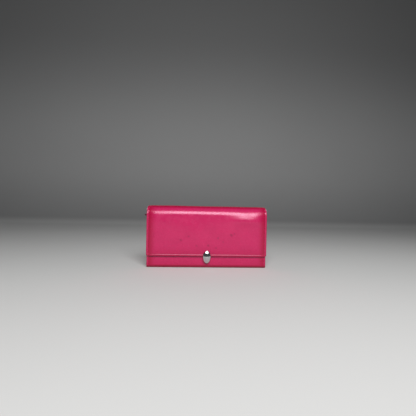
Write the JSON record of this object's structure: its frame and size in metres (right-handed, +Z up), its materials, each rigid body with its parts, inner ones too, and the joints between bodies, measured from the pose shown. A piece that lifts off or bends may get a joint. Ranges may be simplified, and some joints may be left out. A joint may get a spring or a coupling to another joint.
{
  "type": "long wallet",
  "caption": "Long wallet with a snap-closed flap over a rolled top, side gussets, a zipped coin pocket, long compartments and card slots.",
  "frame": {"origin": "centre of the base, on the surface the wallet stands on", "axes": "+X along the wallet to the right as the flap is faced, +Z up, the flap's face towards -Y"},
  "size_m": [0.198, 0.0319, 0.1],
  "materials": {
    "cover_leather": "semi-gloss smooth pink cowhide",
    "lining_leather": "satin pink split leather",
    "gusset_leather": "matt thin pink leather",
    "pocket_cloth": "twill pocket cloth",
    "board": "pressed fibre board",
    "zip_tape": "woven tape",
    "zip_metal": "polished nickel",
    "clasp_metal": "polished nickel",
    "snap_metal": "satin nickel"
  },
  "bodies": {
    "back": {"back_cover": "cover_leather", "back_board": "board", "back_lining": "lining_leather", "base_cover": "cover_leather", "base_lining": "lining_leather", "card_backing": "lining_leather", "card_slot_left_1": "lining_leather", "card_slot_left_2": "lining_leather", "card_slot_left_3": "lining_leather", "card_slot_left_4": "lining_leather", "card_slot_right_1": "lining_leather", "card_slot_right_2": "lining_leather", "card_slot_right_3": "lining_leather", "card_slot_right_4": "lining_leather", "gusset_rear_left": "gusset_leather", "gusset_rear_right": "gusset_leather"},
    "spine_rear": {"spine_rear_cover": "cover_leather", "spine_rear_lining": "lining_leather"},
    "spine_top": {"spine_top_cover": "cover_leather", "spine_top_lining": "lining_leather"},
    "spine_front": {"spine_front_cover": "cover_leather", "spine_front_lining": "lining_leather"},
    "flap": {"flap_cover": "cover_leather", "flap_board": "board", "flap_lining": "lining_leather", "clasp_dome": "clasp_metal", "clasp_backplate": "snap_metal", "clasp_rivets": "snap_metal", "snap_socket": "snap_metal", "snap_spring": "snap_metal"},
    "coin_pocket": {"coin_wall_rear": "lining_leather", "coin_wall_front": "lining_leather", "coin_floor": "pocket_cloth", "coin_side_left": "pocket_cloth", "coin_side_right": "pocket_cloth", "zip_tape_rear": "zip_tape", "zip_tape_front": "zip_tape", "zip_teeth_rear": "zip_metal", "zip_teeth_front": "zip_metal", "zip_stops": "zip_metal", "gusset_front_left": "gusset_leather", "gusset_front_right": "gusset_leather"},
    "zip_slider": {"zip_slider": "zip_metal"},
    "zip_pull": {"zip_pull": "zip_metal"},
    "front_panel": {"front_cover": "cover_leather", "front_board": "board", "front_lining": "lining_leather", "front_slip_pocket": "lining_leather", "snap_stud": "snap_metal", "snap_rivet": "snap_metal", "snap_washer": "snap_metal"}
  },
  "joints": [
    {"name": "flap_open", "type": "hinge", "parent": "back", "child": "spine_rear", "pos_m": [0, 0.01308, 0.09373], "axis": [-1, 0, 0], "range_deg": [0, 45]},
    {"name": "spine_top_bend", "type": "hinge", "parent": "spine_rear", "child": "spine_top", "pos_m": [0, 0.00723, 0.09958], "axis": [-1, 0, 0], "range_deg": [0, 45]},
    {"name": "spine_front_bend", "type": "hinge", "parent": "spine_top", "child": "spine_front", "pos_m": [0, -0.00384, 0.09927], "axis": [-1, 0, 0], "range_deg": [0, 45]},
    {"name": "flap_bend", "type": "hinge", "parent": "spine_front", "child": "flap", "pos_m": [0, -0.01267, 0.09044], "axis": [-1, 0, 0], "range_deg": [0, 45]},
    {"name": "coin_pocket_lean", "type": "hinge", "parent": "back", "child": "coin_pocket", "pos_m": [0, -0.0107, 0], "axis": [1, 0, 0], "range_deg": [0, 8]},
    {"name": "front_panel_lean", "type": "hinge", "parent": "coin_pocket", "child": "front_panel", "pos_m": [0, -0.0107, 0], "axis": [1, 0, 0], "range_deg": [0, 8]},
    {"name": "zip_slide", "type": "slide", "parent": "coin_pocket", "child": "zip_slider", "axis": [1, 0, 0], "range_m": [0, 0.166]},
    {"name": "zip_pull_turn", "type": "hinge", "parent": "zip_slider", "child": "zip_pull", "pos_m": [-0.0865, 0, 0.084], "axis": [0, 1, 0], "range_deg": [0, 180]}
  ],
  "couplings": [
    {"joint": "flap_bend", "follows": "flap_open", "ratio": 1},
    {"joint": "spine_top_bend", "follows": "flap_open", "ratio": 1},
    {"joint": "spine_front_bend", "follows": "flap_open", "ratio": 1},
    {"joint": "coin_pocket_lean", "follows": "flap_open", "ratio": 0.17777},
    {"joint": "front_panel_lean", "follows": "flap_open", "ratio": 0.17777}
  ]
}
